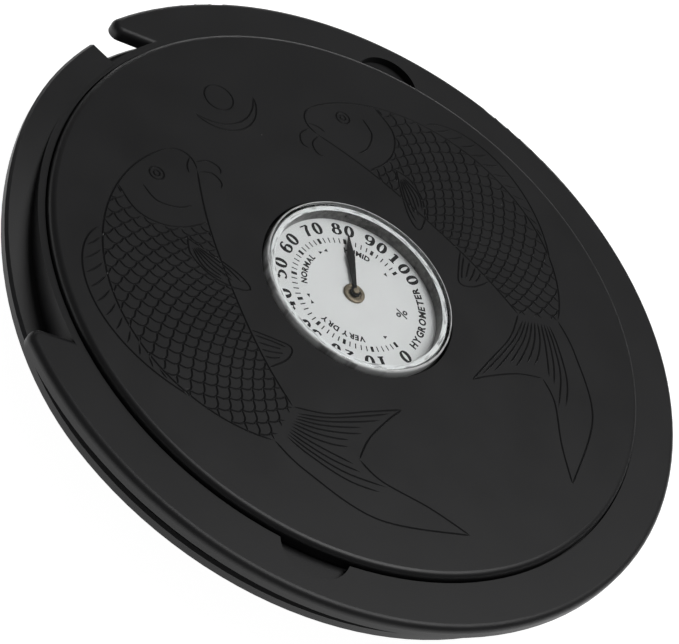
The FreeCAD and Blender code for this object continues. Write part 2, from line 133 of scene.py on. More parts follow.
# %% Wrap a socket
class Wire:
    """One output socket of a node tree, with arithmetic."""

    def __init__(self, finish, socket):
        self.finish = finish
        self.socket = socket

    def math(self, operation, *others):
        terms = dict(enumerate((self, *others)))
        return self.finish.node("ShaderNodeMath", {"operation": operation}, terms)

    def __add__(self, other):
        return self.math("ADD", other)

    def __radd__(self, other):
        return self.math("ADD", other)

    def __sub__(self, other):
        return self.math("SUBTRACT", other)

    def __rsub__(self, other):
        return self.finish.node("ShaderNodeMath", {"operation": "SUBTRACT"}, {0: other, 1: self})

    def __mul__(self, other):
        return self.math("MULTIPLY", other)

    def __rmul__(self, other):
        return self.math("MULTIPLY", other)

    def __pow__(self, other):
        return self.math("POWER", other)

    def __lt__(self, other):
        return self.math("LESS_THAN", other)

    def ramp(self, low, high):
        """Goes smoothly from 0 at low to 1 at high."""
        settings = {"interpolation_type": "SMOOTHSTEP"}
        inputs = {"Value": self, "From Min": low, "From Max": high}
        return self.finish.node("ShaderNodeMapRange", settings, inputs, "Result")


# %% [markdown]
# ## One material at a time
#
# A finish starts from the Principled shader, because one shader covers plastic, metal, paint and
# glass. Values that are the same all over the surface are set on its own sockets. Patterns are
# read from object coordinates, which are metres here, so that a grain of a fifth of a millimetre
# keeps that size on every piece. A Mix node has one set of sockets for each kind of value, so its
# colour sockets are picked by number.

# %% Build a finish
MIX_LOW, MIX_HIGH, MIX_RESULT = 6, 7, 2


class Finish:
    """A material under construction."""

    def __init__(self, name):
        self.material = bpy.data.materials.new(name)
        self.material.use_nodes = True
        self.tree = self.material.node_tree
        self.tree.nodes.clear()
        self.output = self.tree.nodes.new("ShaderNodeOutputMaterial")
        self.shader = self.tree.nodes.new("ShaderNodeBsdfPrincipled")
        self.tree.links.new(self.shader.outputs[0], self.output.inputs["Surface"])
        self.place = self.node("ShaderNodeTexCoord", {}, {}, "Object")

    def feed(self, socket, value):
        if isinstance(value, Wire):
            self.tree.links.new(value.socket, socket)
        elif socket.type == "RGBA" and len(value) == 3:
            socket.default_value = (*value, 1.0)
        else:
            socket.default_value = value

    def node(self, kind, settings, inputs, output=0):
        """Add a node: its settings first, then its sockets. Returns one of its outputs."""
        made = self.tree.nodes.new(kind)
        for name, value in settings.items():
            setattr(made, name, value)
        for name, value in inputs.items():
            self.feed(made.inputs[name], value)
        return Wire(self, made.outputs[output])

    def noise(self, size, detail=2.0, place=None):
        """Soft noise from 0 to 1 whose lumps are about `size` metres wide."""
        inputs = {"Vector": place or self.place, "Scale": 1.0 / size, "Detail": detail}
        return self.node("ShaderNodeTexNoise", {}, inputs, "Fac")

    def stretched(self, x, y, z):
        """Object coordinates, scaled along each axis."""
        inputs = {0: self.place, 1: (x, y, z)}
        return self.node("ShaderNodeVectorMath", {"operation": "MULTIPLY"}, inputs)

    def round_axis(self):
        """X, Y and the distance from the middle axis, in metres."""
        x = self.node("ShaderNodeSeparateXYZ", {}, {0: self.place}, "X")
        y = Wire(self, x.socket.node.outputs["Y"])
        return x, y, (x * x + y * y) ** 0.5

    def specks(self, size, share, width):
        """A mask of dots: cells of `size`, a `share` of them with a dot `width` across."""
        inputs = {"Vector": self.place, "Scale": 1.0 / size}
        distance = self.node("ShaderNodeTexVoronoi", {}, inputs, "Distance")
        colour = self.node("ShaderNodeTexVoronoi", {}, inputs, "Color")
        chosen = self.node("ShaderNodeSeparateColor", {}, {0: colour}) < share
        return (distance < width / (2.0 * size)) * chosen

    def blend(self, factor, low, high):
        """A colour between low and high."""
        inputs = {0: factor, MIX_LOW: low, MIX_HIGH: high}
        return self.node("ShaderNodeMix", {"data_type": "RGBA"}, inputs, MIX_RESULT)

    def bump(self, height, depth):
        """Tilt the surface by a height from 0 to 1, `depth` metres deep."""
        inputs = {"Height": height, "Distance": depth, "Strength": 1.0}
        normal = self.node("ShaderNodeBump", {}, inputs)
        self.feed(self.shader.inputs["Normal"], normal)

    def set(self, **sockets):
        """Set sockets of the shader: base_color=... stands for its Base Color."""
        for name, value in sockets.items():
            label = " ".join(word.capitalize() for word in name.split("_"))
            self.feed(self.shader.inputs[label.replace("Ior", "IOR")], value)


# %% [markdown]
# ## Black mouldings
#
# The ring, the cup and the lid are moulded in black plastic that has been given a fine matt
# texture by the mould. It is never quite black: a faint cloudiness, a grain of a few tenths of a
# millimetre and some dust catch the light. One function makes all these finishes, and the grain,
# the depth and the gloss set them apart.


# %% Mix the black mouldings
def moulded(name, colour, gloss, grain, depth, dust=0.012):
    finish = Finish(name)
    cloud = finish.noise(9.0 * MM, 3.0)
    fine = finish.noise(grain, 4.0)
    dots = finish.specks(2.6 * MM, dust, 0.16 * MM)
    light = tuple(channel * 1.35 for channel in colour)
    dust_grey = (0.22, 0.22, 0.21)
    base = finish.blend(cloud, colour, light)
    finish.set(base_color=finish.blend(dots * 0.8, base, dust_grey))
    finish.set(roughness=gloss + (cloud - 0.5) * 0.12 + (fine - 0.5) * 0.1 + dots * 0.3)
    finish.set(specular_ior_level=0.36)
    finish.bump(fine, depth)
    return finish.material


ring_black = moulded("ring_black", (0.0080, 0.0080, 0.0086), 0.44, 0.22 * MM, 0.010 * MM)
cup_black = moulded("cup_black", (0.0080, 0.0080, 0.0086), 0.50, 0.30 * MM, 0.012 * MM)
lid_black = moulded("lid_black", (0.0075, 0.0075, 0.0081), 0.40, 0.20 * MM, 0.008 * MM)
seal_black = moulded("seal_black", (0.0220, 0.0220, 0.0220), 0.38, 0.12 * MM, 0.004 * MM)
case_black = moulded("case_black", (0.0100, 0.0100, 0.0100), 0.22, 0.40 * MM, 0.003 * MM)
print("black mouldings:", ring_black.name, cup_black.name, lid_black.name)

# %% [markdown]
# ## Metals
#
# The bushes are turned from brass, and the lathe leaves fine rings round their axis. The spindle
# and the clip are steel. A turned look comes from stripes that follow the distance from the middle
# axis, and a drawn look from noise stretched along the piece.


# %% Mix the metals
def metal(name, colour, gloss, turned_lines):
    finish = Finish(name)
    if turned_lines:
        _, _, radius = finish.round_axis()
        lines = (radius * (2.0 * math.pi / (0.09 * MM))).math("SINE") * 0.5 + 0.5
    else:
        lines = finish.noise(0.10 * MM, 3.0, finish.stretched(1.0, 1.0, 0.08))
    stain = finish.noise(0.9 * MM, 4.0)
    dull = tuple(channel * 0.62 for channel in colour)
    finish.set(base_color=finish.blend(stain.ramp(0.35, 0.75), colour, dull))
    finish.set(roughness=gloss + (stain - 0.5) * 0.25 + lines * 0.08)
    finish.set(metallic=1.0)
    finish.bump(lines, 0.003 * MM)
    return finish.material


brass = metal("brass", (0.40, 0.33, 0.23), 0.34, True)
steel = metal("steel", (0.52, 0.52, 0.53), 0.30, False)
strip = metal("strip", (0.52, 0.42, 0.26), 0.42, False)
print("metals:", brass.name, steel.name, strip.name)

# %% [markdown]
# ## Paint, paper white and ink
#
# The dial is sheet metal with a matt off-white coat, and its print is a thin layer of black ink.
# The pointer has a satin black paint, and the spacer is dark and cloudy. What tells them apart is
# how evenly they scatter light, so each gets its own mottling, and the black ones little shine.


# %% Mix the coats
def coat(name, colour, gloss, grain, depth, spread=0.06, shine=0.5):
    finish = Finish(name)
    mottle = finish.noise(grain, 5.0)
    drift = finish.noise(6.0 * MM, 2.0)
    darker = tuple(channel * (1.0 - spread) for channel in colour)
    cloudy = (mottle * 0.6 + drift * 0.4).ramp(0.35, 0.65)
    finish.set(base_color=finish.blend(cloudy, darker, colour))
    finish.set(roughness=gloss + (mottle - 0.5) * 0.15, specular_ior_level=shine)
    finish.bump(mottle, depth)
    return finish.material


dial_white = coat("dial_white", (0.64, 0.64, 0.64), 0.55, 0.14 * MM, 0.004 * MM)
INK = (0.004, 0.004, 0.0045)
ink_black = coat("ink_black", INK, 0.60, 0.05 * MM, 0.002 * MM, 0.3, 0.15)
pointer_black = coat("pointer_black", INK, 0.45, 0.08 * MM, 0.003 * MM, 0.3, 0.15)
spacer_grey = coat("spacer_grey", (0.120, 0.117, 0.112), 0.30, 0.9 * MM, 0.03 * MM, 0.85)
print("coats:", dial_white.name, ink_black.name, pointer_black.name, spacer_grey.name)

# %% [markdown]
# ## The clear cap
#
# The cap over the dial is clear acrylic. Real glass bends light, and a path tracer rarely finds the
# lamps through it, so what lies behind would turn dark and noisy. Here the rays that look for lamps
# pass straight through, while the rays that make the picture are bent as they should be.


# %% Mix the clear acrylic
def clear_acrylic(name):
    finish = Finish(name)
    haze = finish.noise(1.8 * MM, 4.0)
    finish.set(base_color=(0.97, 0.98, 0.98), transmission_weight=1.0, ior=1.49)
    finish.set(roughness=haze.ramp(0.45, 0.80) * 0.05)
    shadow = finish.node("ShaderNodeLightPath", {}, {}, "Is Shadow Ray")
    through = finish.node("ShaderNodeBsdfTransparent", {}, {"Color": (0.92, 0.93, 0.93)})
    bent = Wire(finish, finish.shader.outputs[0])
    mixed = finish.node("ShaderNodeMixShader", {}, {0: shadow, 1: bent, 2: through})
    finish.feed(finish.output.inputs["Surface"], mixed)
    return finish.material


clear_cap = clear_acrylic("clear_cap")
print("clear acrylic:", clear_cap.name)

# %% [markdown]
# ## Drawing the engraving
#
# Two plain fish swim round the dial, with a disc and a crescent between their heads. Only the left
# fish is drawn; the right one is its mirror image. A stroke is a smooth curve through a few points,
# in lid radii from the middle of the lid. A spline was chosen rather than a fine polygon, because
# a hand can move five points, and no hand can move fifty.


# %% Make curves from a few points
def spline(points, count):
    """A smooth curve through the points, as `count` evenly spaced steps."""
    padded = [points[0]] + list(points) + [points[-1]]
    fine = []
    for before, start, end, after in zip(padded, padded[1:], padded[2:], padded[3:]):
        for number in range(12):
            t = number / 12.0
            fine.append(tuple(
                0.5 * (2 * b + (c - a) * t + (2 * a - 5 * b + 4 * c - d) * t * t
                       + (3 * b - a - 3 * c + d) * t ** 3)
                for a, b, c, d in zip(before, start, end, after)))
    fine.append(tuple(points[-1]))
    return evenly(fine, count)


def evenly(line, count):
    """The same line as `count` steps of one length."""
    reach = [0.0]
    for start, end in zip(line, line[1:]):
        reach.append(reach[-1] + math.dist(start, end))
    result = []
    place = 0
    for number in range(count + 1):
        wanted = reach[-1] * number / count
        while place < len(line) - 2 and reach[place + 1] < wanted:
            place += 1
        share = (wanted - reach[place]) / max(reach[place + 1] - reach[place], 1e-12)
        result.append(tuple(a + (b - a) * share for a, b in zip(line[place], line[place + 1])))
    return result


def between(first, second, share):
    """The curve that lies that share of the way from the first to the second."""
    return [tuple(a + (b - a) * share for a, b in zip(p, q)) for p, q in zip(first, second)]


def along(line, share):
    """The point that lies that share of the way along an even line."""
    place = min(max(share, 0.0), 1.0) * (len(line) - 1)
    low = min(int(place), len(line) - 2)
    return tuple(a + (b - a) * (place - low) for a, b in zip(line[low], line[low + 1]))


# %% [markdown]
# ## The fish
#
# The fish swims round the dial, so it is laid out in two numbers of its own: how far along it a
# point lies, from 0 at the snout to 1 at the root of the tail, and how far out from its middle
# line, in lid radii. The middle line is an arc round the dial, and a sine gives the girth.

# %% Lay out the body
SNOUT_TURN, ROOT_TURN = math.radians(116.0), math.radians(208.0)
MIDDLE_RADIUS = 0.655
BODY_LENGTH = MIDDLE_RADIUS * (ROOT_TURN - SNOUT_TURN)
GILL_SHARE = 0.20
STROKE_STEP = 0.011


def on_fish(share, out):
    """The place on the lid of a point of the fish, in lid radii."""
    turn = SNOUT_TURN + (ROOT_TURN - SNOUT_TURN) * share
    radius = MIDDLE_RADIUS + out
    return (radius * math.cos(turn), radius * math.sin(turn))


def girth(share):
    """Half the width of the body."""
    return 0.200 * math.sin(math.pi * (0.05 + 0.87 * share)) ** 0.7


def flank(direction, start, end, steps=70):
    """The back for 1, or the belly for -1, between two shares of the length."""
    shares = [start + (end - start) * step / steps for step in range(steps + 1)]
    return [on_fish(share, direction * girth(share)) for share in shares]


def steps_for(points):
    """How many even steps a stroke through these points needs."""
    return max(4, round(sum(math.dist(a, b) for a, b in zip(points, points[1:])) / STROKE_STEP))


def fish_line(*points):
    """A smooth stroke through points given as (share, out)."""
    corners = [on_fish(*point) for point in points]
    return spline(corners, steps_for(corners))


def round_arc(middle, radius, start, end):
    steps = max(8, round(abs(end - start) / 9.0))
    angles = [math.radians(start + (end - start) * n / steps) for n in range(steps + 1)]
    return [(middle[0] + radius * math.cos(a), middle[1] + radius * math.sin(a)) for a in angles]


GILL = fish_line((GILL_SHARE, girth(GILL_SHARE)), (0.26, 0.08), (0.28, 0.0), (0.26, -0.08),
                 (GILL_SHARE, -girth(GILL_SHARE)))
print("the fish is", round(BODY_LENGTH * LID_RADIUS / MM), "mm long without its tail")

# %% [markdown]
# ## Head, fins and tail
#
# Each fin is a leaf with rays, and each ray starts where the fin grows out of the body. The rays
# all follow two guides, one at each side of the fin, so a loop blends from one guide to the other.


# %% Draw head, fins and tail
RAY_STEPS = 14
BACK_FIN_START, BACK_FIN_LENGTH = 0.34, 0.46
EYE = on_fish(0.105, 0.045)


def rays(first, second, lengths):
    """Strokes from one guide to the other; each keeps its share of the full length."""
    first, second = fish_line(*first), fish_line(*second)
    made = []
    for number, length in enumerate(lengths):
        shares = [length * step / RAY_STEPS for step in range(RAY_STEPS + 1)]
        near = [along(first, share) for share in shares]
        far = [along(second, share) for share in shares]
        made.append(between(near, far, number / (len(lengths) - 1)))
    return made


def fin_edge(share):
    """The outer edge of the fin on the back: it rises early and falls slowly."""
    through = (share - BACK_FIN_START) / BACK_FIN_LENGTH
    return girth(share) + 0.075 * math.sin(math.pi * through ** 0.6)


head = [
    fish_line((0.0, girth(0.0)), (-0.022, 0.03), (-0.03, 0.0), (-0.022, -0.03), (0.0, -girth(0.0))),
    GILL,
    fish_line((0.165, 0.075), (0.200, 0.02), (0.190, -0.05), (0.155, -0.09)),
    round_arc(EYE, 0.024, 0.0, 360.0),
    round_arc(EYE, 0.010, 0.0, 360.0),
    fish_line((-0.028, -0.012), (0.01, -0.022), (0.035, -0.042)),
    fish_line((0.005, -0.062), (-0.03, -0.095), (-0.022, -0.135), (0.01, -0.145)),
    fish_line((-0.022, -0.035), (-0.065, -0.06), (-0.075, -0.10), (-0.05, -0.118)),
]
BREAST_FIN = fish_line((0.305, -0.085), (0.36, -0.175), (0.44, -0.245), (0.515, -0.262),
                       (0.50, -0.205), (0.445, -0.14), (0.37, -0.092), (0.305, -0.085))
back_fin_shares = [BACK_FIN_START + BACK_FIN_LENGTH * step / 50.0 for step in range(51)]
fins = [
    [on_fish(share, fin_edge(share)) for share in back_fin_shares],
    BREAST_FIN,
    fish_line((0.70, -girth(0.70)), (0.78, -0.235), (0.86, -0.262), (0.885, -0.215),
              (0.86, -girth(0.86))),
]
for number in range(11):
    root = 0.37 + 0.034 * number
    tip = root + 0.028
    halfway = 0.5 * (girth(root) + fin_edge(tip))
    fins.append(fish_line((root, girth(root) + 0.006), (root + 0.018, halfway),
                          (tip, fin_edge(tip) - 0.008)))
fins += rays([(0.33, -0.115), (0.40, -0.20), (0.49, -0.246)],
             [(0.34, -0.098), (0.42, -0.13), (0.485, -0.20)], [0.95, 0.8, 0.9, 0.75, 0.85])
fins += rays([(0.73, -0.185), (0.79, -0.225), (0.85, -0.25)],
             [(0.82, -0.16), (0.845, -0.18), (0.87, -0.215)], [0.95, 0.8, 0.9, 0.75])
tail = [
    fish_line((1.0, girth(1.0)), (1.10, 0.115), (1.28, 0.185), (1.50, 0.215)),
    fish_line((1.50, 0.215), (1.42, 0.12), (1.30, 0.05), (1.235, -0.005)),
    fish_line((1.235, -0.005), (1.27, -0.09), (1.36, -0.175), (1.44, -0.215)),
    fish_line((1.44, -0.215), (1.28, -0.19), (1.12, -0.125), (1.0, -girth(1.0))),
]
tail += rays([(1.02, 0.065), (1.12, 0.105), (1.28, 0.168), (1.47, 0.202)],
             [(1.02, 0.005), (1.09, 0.006), (1.16, 0.010), (1.24, 0.022)],
             [0.95, 0.8, 0.92, 0.78, 0.94, 0.82, 0.9])
tail += rays([(1.02, -0.008), (1.09, -0.012), (1.16, -0.025), (1.22, -0.045)],
             [(1.02, -0.062), (1.12, -0.11), (1.28, -0.175), (1.40, -0.202)],
             [0.9, 0.8, 0.88, 0.78, 0.92, 0.95])
print(len(head + fins + tail), "strokes for head, fins and tail")

# %% [markdown]
# ## Scales
#
# The scales are a net of two families of lines that cross at a slant, and each line bows a little
# towards the tail between its crossings. The net is cut off at the gill, at the edges of the body
# and at the breast fin that lies over it.


# %% Fill the body with scales
def inside(point, outline):
    """True if the point lies within the closed outline."""
    x, y = point
    odd = False
    for (x1, y1), (x2, y2) in zip(outline, outline[1:] + outline[:1]):
        if (y1 > y) != (y2 > y) and x < x1 + (x2 - x1) * (y - y1) / (y2 - y1):
            odd = not odd
    return odd


BODY = flank(1, GILL_SHARE, 1.0) + flank(-1, GILL_SHARE, 1.0)[::-1] + GILL[::-1]


def scaly(point):
    """True where the fish shows scales: on its body, but not under the breast fin."""
    return inside(point, BODY) and not inside(point, BREAST_FIN)


def shown_runs(line):
    """The stretches of a line that lie where the fish has scales."""
    runs = [[]]
    for start, end in zip(line, line[1:]):
        if scaly(start):
            runs[-1].append(start)
        if scaly(start) != scaly(end):
            low, high = 0.0, 1.0
            for _ in range(8):
                middle = (low + high) / 2.0
                same = scaly(between([start], [end], middle)[0]) == scaly(start)
                low, high = (middle, high) if same else (low, middle)
            runs[-1].append(between([start], [end], low)[0])
            if scaly(start):
                runs.append([])
    return [run for run in runs if len(run) > 2]


SCALE_LENGTH = 0.0235
SCALE_WIDTH = 0.0300
COLUMNS = 7


def scale_line(start, lean):
    """A line of the net. It bows towards the tail between its crossings."""
    line = []
    for step in range(-COLUMNS * 4, COLUMNS * 4 + 1):
        column = step / 4.0
        bow = 0.32 * abs(math.sin(math.pi * column))
        share = (start + lean * column + bow) * SCALE_LENGTH / BODY_LENGTH
        line.append(on_fish(share, column * SCALE_WIDTH))
    return line


scales = []
for start in range(-10, round(BODY_LENGTH / SCALE_LENGTH) + 12, 2):
    for lean in (-1, 1):
        scales += shown_runs(scale_line(start, lean))
fish = [flank(1, 0.0, 1.0), flank(-1, 0.0, 1.0)] + head + fins + tail + scales
DISC = (0.0, 0.76)
sky_marks = [
    round_arc(DISC, 0.05, 0.0, 360.0),
    round_arc(DISC, 0.13, 190.0, 350.0),
    round_arc((0.0, 0.80), 0.144, 206.0, 334.0),
]
strokes = fish + [[(-x, y) for x, y in line] for line in fish] + sky_marks
print(len(strokes), "strokes on the lid")

# %% [markdown]
# ## Cutting the strokes into the lid
#
# The real lid has shallow cuts with slanting sides. A bump map would fake them, but it gives no
# edge to the outline and is lost on a mesh. So the flat face is divided along every stroke: one
# line down its middle and one along each side. A constrained triangulation keeps all these lines
# and finds where they cross. Each corner then sinks by how near it is to the middle of a stroke.

# %% Divide the face along the strokes
CUT_WIDTH = 0.31 * MM
CUT_DEPTH = 0.14 * MM
LONGEST_SIDE = 1.30 * MM
LID_ROUND = 0.90 * MM
POCKET_GAP = 0.25 * MM
LID_SEGMENTS = 192


def ring_points(radius, count):
    turns = [2.0 * math.pi * number / count for number in range(count)]
    return [(radius * math.cos(turn), radius * math.sin(turn)) for turn in turns]


def tapered(line):
    """A stroke in metres: each point has half the cut's width, which narrows at open ends."""
    points = [(x * LID_RADIUS, y * LID_RADIUS) for x, y in line]
    closed = math.dist(points[0], points[-1]) < CUT_WIDTH
    made = []
    for number, point in enumerate(points):
        ends = min(number, len(points) - 1 - number)
        narrow = 1.0 if closed or ends > 1 else (0.0, 0.75)[ends]
        made.append((*point, CUT_WIDTH / 2.0 * narrow))
    return made


def offset(stroke, side):
    """The line along one side of a stroke."""
    made = []
    for number, (x, y, half) in enumerate(stroke):
        before = stroke[max(number - 1, 0)]
        after = stroke[min(number + 1, len(stroke) - 1)]
        heading = math.atan2(after[1] - before[1], after[0] - before[0])
        made.append((x - side * half * math.sin(heading), y + side * half * math.cos(heading)))
    return made


# %% Measure how deep a point lies
def sunk(point, near):
    """How deep the face lies at a point: 1 in the middle of a cut, 0 outside every cut."""
    deepest = 0.0
    x, y = point
    for (ax, ay, ah), (bx, by, bh) in near:
        dx, dy = bx - ax, by - ay
        share = ((x - ax) * dx + (y - ay) * dy) / max(dx * dx + dy * dy, 1e-18)
        share = min(max(share, 0.0), 1.0)
        apart = math.hypot(x - ax - share * dx, y - ay - share * dy)
        deepest = max(deepest, (ah + (bh - ah) * share - apart) / (CUT_WIDTH / 2.0))
    return max(0.0, 1.15 * deepest - 0.15)


# %% Triangulate the flat face
def cells_between(low, high):
    """The millimetre cells that a cut between these two places can reach."""
    return range(int((low - CUT_WIDTH) // MM), int((high + CUT_WIDTH) // MM) + 1)


def engraved_face(strokes):
    """Points and triangles of the lid's flat face, from the dial's pocket to the rounded edge.

    A triangle with a side over LONGEST_SIDE would carry a cut's slope far out over the flat face
    and catch the light as a streak, so its corners go back up.
    """
    corners, edges = [], []

    def add_line(line, closed=False):
        first = len(corners)
        corners.extend(Vector(point) / MM for point in line)
        edges.extend((first + n, first + n + 1) for n in range(len(line) - 1))
        if closed:
            edges.append((len(corners) - 1, first))

    inner, outer = LENS_RADIUS + POCKET_GAP, LID_RADIUS - LID_ROUND
    add_line(ring_points(outer, LID_SEGMENTS), closed=True)
    add_line(ring_points(inner, LID_SEGMENTS), closed=True)
    cuts = [tapered(line) for line in strokes]
    bins = {}
    for cut in cuts:
        add_line([point[:2] for point in cut])
        add_line(offset(cut, 1.0))
        add_line(offset(cut, -1.0))
        for start, end in zip(cut, cut[1:]):
            low_x, high_x = sorted((start[0], end[0]))
            low_y, high_y = sorted((start[1], end[1]))
            for column in cells_between(low_x, high_x):
                for row in cells_between(low_y, high_y):
                    bins.setdefault((column, row), []).append((start, end))
    points, _, faces, *_ = delaunay_2d_cdt(corners, edges, [], 0, 1e-4)
    made = []
    for x, y in points:
        near = bins.get((int(x // 1.0), int(y // 1.0)), [])
        made.append((x * MM, y * MM, LID_TOP - CUT_DEPTH * sunk((x * MM, y * MM), near)))
    kept = []
    for face in faces:
        middle = sum((points[corner] for corner in face), Vector((0.0, 0.0))) / 3.0
        if middle.length * MM > inner:
            kept.append(tuple(face))
    for face in kept:
        sides = [math.dist(made[a][:2], made[b][:2]) for a, b in zip(face, face[1:] + face[:1])]
        if max(sides) > LONGEST_SIDE:
            for corner in face:
                made[corner] = (made[corner][0], made[corner][1], LID_TOP)
    return made, kept


# %% [markdown]
# ## The lid
#
# The lid is a turned dish: a flat face with a rounded edge, a skirt with a groove for the seal, and
# a boss that grips the instrument. Its section is turned about the middle axis, with small radii on
# the edges that a mould would never leave sharp, and the engraved face closes it on top.


# %% Turn a section
def rounded(corners, steps=5):
    """The section's points, with an arc in place of each corner that has a radius."""
    line = []
    count = len(corners)
    for number, (r, z, radius) in enumerate(corners):
        here = Vector((r, z))
        before = Vector(corners[number - 1][:2]) - here
        after = Vector(corners[(number + 1) % count][:2]) - here
        if radius == 0.0:
            line.append(here)
            continue
        half = before.angle(after) / 2.0
        reach = radius / math.tan(half)
        start = here + before.normalized() * reach
        end = here + after.normalized() * reach
        inward = (before.normalized() + after.normalized()).normalized()
        middle = here + inward * radius / math.sin(half)
        first, last = start - middle, end - middle
        for step in range(steps + 1):
            line.append(middle + first.slerp(last, step / steps).normalized() * radius)
    return line


def turned(name, corners, material, segments=128, open_between=None, steps=5):
    """A piece turned from a closed section of (radius, height, edge radius) corners."""
    line = rounded(corners, steps)
    mesh = bpy.data.meshes.new(name)
    shape = bmesh.new()
    loops = []
    for radius, height in line:
        if radius < 1e-7:
            loops.append([shape.verts.new((0.0, 0.0, height))] * segments)
        else:
            around = ring_points(radius, segments)
            loops.append([shape.verts.new((x, y, height)) for x, y in around])
    for number, (low, high) in enumerate(zip(loops, loops[1:] + loops[:1])):
        if open_between and open_between(line[number], line[(number + 1) % len(line)]):
            continue
        for turn in range(segments):
            ahead = (turn + 1) % segments
            corner = [low[turn], low[ahead], high[ahead], high[turn]]
            different = list(dict.fromkeys(corner))
            if len(different) > 2:
                shape.faces.new(different)
    bmesh.ops.recalc_face_normals(shape, faces=shape.faces)
    shape.to_mesh(mesh)
    shape.free()
    return dress(name, mesh, material)


def dress(name, mesh, material, sharp=32.0):
    """An object for the mesh, with smooth shading that breaks at sharp edges."""
    mesh.materials.append(material)
    mesh.shade_smooth()
    mesh.set_sharp_from_angle(angle=math.radians(sharp))
    piece = bpy.data.objects.new(name, mesh)
    bpy.context.scene.collection.objects.link(piece)
    print(name, "has", len(mesh.polygons), "faces")
    return piece


# %% Build the engraved lid
POCKET_RADIUS = LENS_RADIUS + POCKET_GAP
SEAT_HEIGHT = LENS_BOTTOM - 2.05 * MM
BORE_RADIUS = LENS_RADIUS - 1.05 * MM
PLATE_BOTTOM = LID_TOP - 2.40 * MM
BOSS_BOTTOM = PLATE_BOTTOM - 2.80 * MM
BOSS_RADIUS = BORE_RADIUS + 3.35 * MM
SKIRT_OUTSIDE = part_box("lid_seal")[1].x - 0.08 * MM
SKIRT_INSIDE = SKIRT_OUTSIDE - 1.50 * MM
SEAL_LOW, SEAL_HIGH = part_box("lid_seal")[0].z - 0.05 * MM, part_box("lid_seal")[1].z + 0.05 * MM
SEAL_INSIDE = SKIRT_OUTSIDE - 0.85 * MM
EDGE = 0.20 * MM

LID_SECTION = [
    (POCKET_RADIUS, LID_TOP, 0.0), (POCKET_RADIUS, SEAT_HEIGHT, 0.0),
    (BORE_RADIUS, SEAT_HEIGHT, 0.0), (BORE_RADIUS, BOSS_BOTTOM, EDGE),
    (BOSS_RADIUS, BOSS_BOTTOM, EDGE), (BOSS_RADIUS, PLATE_BOTTOM, 2 * EDGE),
    (SKIRT_INSIDE, PLATE_BOTTOM, 2 * EDGE), (SKIRT_INSIDE, SKIRT_BOTTOM, EDGE),
    (SKIRT_OUTSIDE, SKIRT_BOTTOM, EDGE), (SKIRT_OUTSIDE, SEAL_LOW, 0.0),
    (SEAL_INSIDE, SEAL_LOW, 0.0), (SEAL_INSIDE, SEAL_HIGH, 0.0),
    (SKIRT_OUTSIDE, SEAL_HIGH, 0.0), (SKIRT_OUTSIDE, PLATE_BOTTOM, EDGE),
    (LID_RADIUS, PLATE_BOTTOM, 2 * EDGE), (LID_RADIUS, LID_TOP, LID_ROUND),
]


def make_lid(strokes):
    def is_face(start, end):
        return abs(start[1] - LID_TOP) < 1e-7 and abs(end[1] - LID_TOP) < 1e-7

    lid = turned("engraved_lid", LID_SECTION, lid_black, LID_SEGMENTS, is_face, 7)
    points, faces = engraved_face(strokes)
    shape = bmesh.new()
    shape.from_mesh(lid.data)
    made = [shape.verts.new(point) for point in points]
    for face in faces:
        shape.faces.new([made[corner] for corner in face]).smooth = False
    bmesh.ops.remove_doubles(shape, verts=shape.verts, dist=0.002 * MM)
    loose = [edge for edge in shape.edges if len(edge.link_faces) != 2]
    bmesh.ops.recalc_face_normals(shape, faces=shape.faces)
    shape.to_mesh(lid.data)
    shape.free()
    print("the engraving adds", len(faces), "triangles;", len(loose), "open edges")
    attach(lid, "lid")
    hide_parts("lid")


make_lid(strokes)

# %% [markdown]
# ## Printing the dial
#
# The dial carries a scale from 0 to 100 per cent on three quarters of a circle, numerals, the names
# of three zones and the kind of instrument. On the real plate this is screen print. Here the ink is
# a layer of thin plates of its own, which stands 0.012 mm above the dial, so that it stays sharp
# in any view. The numerals are drawn with a broad pen: strokes that run up and down are thick, and
# those that run across are thin.

# %% Lay out the scale
SCALE_START = math.radians(274.6)
SCALE_STEP = math.radians(-2.7)
INK_TOP = DIAL_TOP + 0.012 * MM
INK_BOTTOM = DIAL_TOP - 0.004 * MM
ink = bmesh.new()


def plate(points):
    """One thin plate of ink with this outline, in metres on the dial."""
    low = [ink.verts.new((x, y, INK_BOTTOM)) for x, y in points]
    high = [ink.verts.new((x, y, INK_TOP)) for x, y in points]
    ink.faces.new(high)
    ink.faces.new(low[::-1])
    for a, b, c, d in zip(low, low[1:] + low[:1], high[1:] + high[:1], high):
        ink.faces.new((a, b, c, d))


def placed(point, radius, angle, turn, size):
    """A point of a small drawing, put on the dial at this radius and angle."""
    x, y = point[0] * size, point[1] * size
    heading = angle - math.pi / 2.0 + turn
    return (radius * math.cos(angle) + x * math.cos(heading) - y * math.sin(heading),
            radius * math.sin(angle) + x * math.sin(heading) + y * math.cos(heading))


def scale_angle(value):
    return SCALE_START + SCALE_STEP * value


def mark(value, inner, outer, width):
    """A tick of the scale."""
    half = width / 2.0
    middle, reach = (inner + outer) / 2.0, (outer - inner) / 2.0
    outline = [(-half, -reach), (half, -reach), (half, reach), (-half, reach)]
    plate([placed(point, middle, scale_angle(value), 0.0, 1.0) for point in outline])


